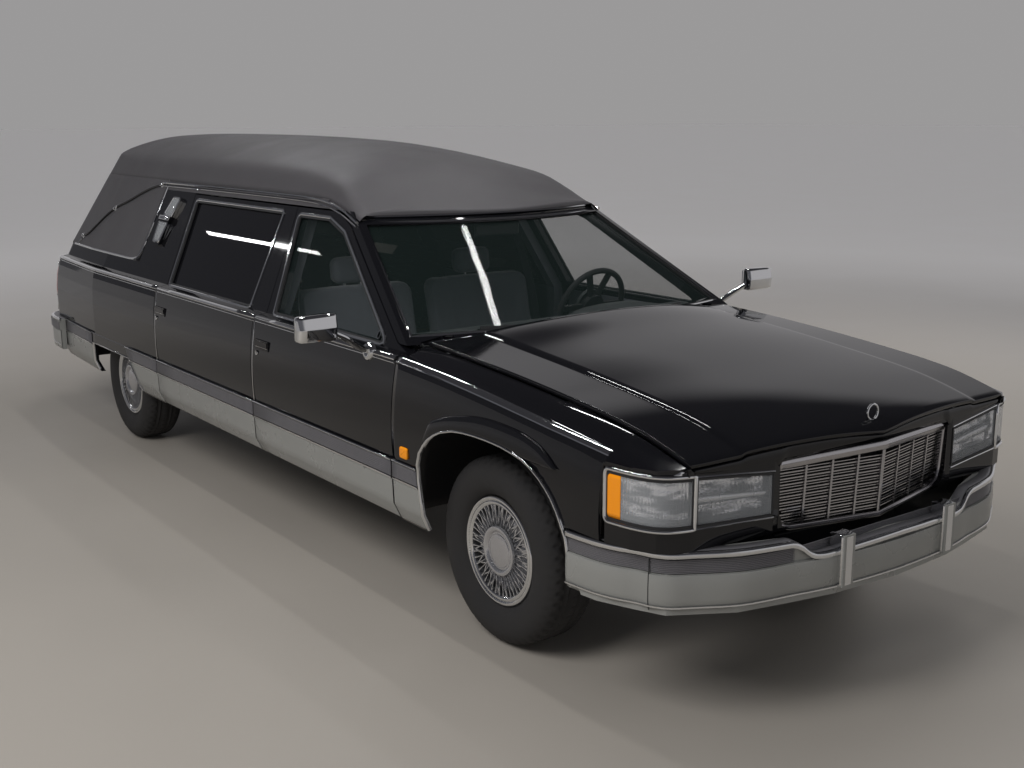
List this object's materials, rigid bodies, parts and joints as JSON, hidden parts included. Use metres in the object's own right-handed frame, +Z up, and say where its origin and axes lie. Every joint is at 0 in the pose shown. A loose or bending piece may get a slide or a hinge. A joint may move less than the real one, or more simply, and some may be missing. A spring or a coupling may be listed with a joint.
{
  "type": "hearse",
  "caption": "Long-wheelbase hearse with a raised vinyl roof, side doors, a rear loading door, a hood, steered front wheels and a hollow cabin and load space.",
  "frame": {"origin": "on the ground, under the middle of the car's length and width", "axes": "+Z up, +Y towards the tail, +X to the car's left; the nose points along -Y"},
  "size_m": [2.616, 6.434, 1.814],
  "materials": {
    "black_metal": "satin",
    "bright_metal": "polished",
    "bright_plastic": "bright plated plastic",
    "bright_steel": "bright",
    "carpeted_floor": "matt",
    "cast_parts": "rough",
    "clear_glass": "clear",
    "cloth": "soft",
    "dark_glass": "dark tinted",
    "exhaust_steel": "dull",
    "frame_paint": "satin",
    "gloss_black": "gloss",
    "lamp_glass": "fluted clear",
    "red_lens": "gloss",
    "trim": "matt",
    "tyre": "matt",
    "vinyl": "grained matt",
    "wheel_silver": "satin",
    "wood": "varnished"
  },
  "bodies": {
    "body": {"bumper_front": "bright_metal", "bumper_rear": "bright_metal", "cabin_seat": "cloth", "casket_deck": "wood", "centre_pillars": "trim", "coach_lamp_panels": "bright_steel", "dashboard": "trim", "engine_block": "cast_parts", "exhaust": "exhaust_steel", "fender_aprons": "gloss_black", "floor": "carpeted_floor", "frame_crossmembers": "frame_paint", "frame_rails": "frame_paint", "front_fenders": "gloss_black", "front_suspension": "frame_paint", "fuel_tank": "frame_paint", "grille": "bright_plastic", "header_panel": "gloss_black", "headlamps": "lamp_glass", "landau_bars": "bright_metal", "load_floor": "carpeted_floor", "quarter_panels": "gloss_black", "rear_axle": "cast_parts", "rear_wheel_houses": "carpeted_floor", "roof": "vinyl", "roof_quarters": "vinyl", "steering_wheel": "trim", "tail_lamps": "red_lens", "tail_sill": "gloss_black", "windshield": "clear_glass", "windshield_frame": "gloss_black", "wipers": "black_metal"},
    "front_left_door": {"door_front_left": "gloss_black", "door_glass_front_left": "clear_glass", "mirror_left": "bright_metal"},
    "front_right_door": {"door_front_right": "gloss_black", "door_glass_front_right": "clear_glass", "mirror_right": "bright_metal"},
    "rear_left_door": {"door_rear_left": "gloss_black", "door_glass_rear_left": "dark_glass"},
    "rear_right_door": {"door_rear_right": "gloss_black", "door_glass_rear_right": "dark_glass"},
    "rear_door": {"tail_door": "gloss_black", "tail_glass": "dark_glass"},
    "hood_lid": {"hood": "gloss_black"},
    "left_knuckle": {"knuckle_left": "cast_parts"},
    "right_knuckle": {"knuckle_right": "cast_parts"},
    "front_left_wheel": {"wheel_front_left": "wheel_silver", "tyre_front_left": "tyre"},
    "front_right_wheel": {"wheel_front_right": "wheel_silver", "tyre_front_right": "tyre"},
    "rear_left_wheel": {"wheel_rear_left": "wheel_silver", "tyre_rear_left": "tyre"},
    "rear_right_wheel": {"wheel_rear_right": "wheel_silver", "tyre_rear_right": "tyre"}
  },
  "joints": [
    {"name": "front_left_door_hinge", "type": "hinge", "parent": "body", "child": "front_left_door", "pos_m": [0.988, -1.565, 0.68], "axis": [0, 0, -1], "range_deg": [0, 65]},
    {"name": "front_right_door_hinge", "type": "hinge", "parent": "body", "child": "front_right_door", "pos_m": [-0.988, -1.565, 0.68], "axis": [0, 0, 1], "range_deg": [0, 65]},
    {"name": "rear_left_door_hinge", "type": "hinge", "parent": "body", "child": "rear_left_door", "pos_m": [0.988, -0.289, 0.68], "axis": [0, 0, -1], "range_deg": [0, 65]},
    {"name": "rear_right_door_hinge", "type": "hinge", "parent": "body", "child": "rear_right_door", "pos_m": [-0.988, -0.289, 0.68], "axis": [0, 0, 1], "range_deg": [0, 65]},
    {"name": "rear_door_hinge", "type": "hinge", "parent": "body", "child": "rear_door", "pos_m": [0.57, 3.054, 0.69], "axis": [0, 0, -1], "range_deg": [0, 90]},
    {"name": "hood_hinge", "type": "hinge", "parent": "body", "child": "hood_lid", "pos_m": [0, -1.556, 1.018], "axis": [-1, 0, 0], "range_deg": [0, 50]},
    {"name": "steer_left", "type": "hinge", "parent": "body", "child": "left_knuckle", "pos_m": [0.776, -2.112, 0.356], "axis": [0, 0, 1], "range_deg": [-28, 28]},
    {"name": "steer_right", "type": "hinge", "parent": "body", "child": "right_knuckle", "pos_m": [-0.776, -2.112, 0.356], "axis": [0, 0, 1], "range_deg": [-28, 28]},
    {"name": "front_left_wheel_spin", "type": "hinge", "parent": "left_knuckle", "child": "front_left_wheel", "pos_m": [0.786, -2.112, 0.356], "axis": [1, 0, 0], "continuous": true},
    {"name": "front_right_wheel_spin", "type": "hinge", "parent": "right_knuckle", "child": "front_right_wheel", "pos_m": [-0.786, -2.112, 0.356], "axis": [1, 0, 0], "continuous": true},
    {"name": "rear_left_wheel_spin", "type": "hinge", "parent": "body", "child": "rear_left_wheel", "pos_m": [0.814, 1.68, 0.356], "axis": [1, 0, 0], "continuous": true},
    {"name": "rear_right_wheel_spin", "type": "hinge", "parent": "body", "child": "rear_right_wheel", "pos_m": [-0.814, 1.68, 0.356], "axis": [1, 0, 0], "continuous": true}
  ],
  "couplings": [
    {"joint": "steer_right", "follows": "steer_left", "ratio": 1}
  ]
}
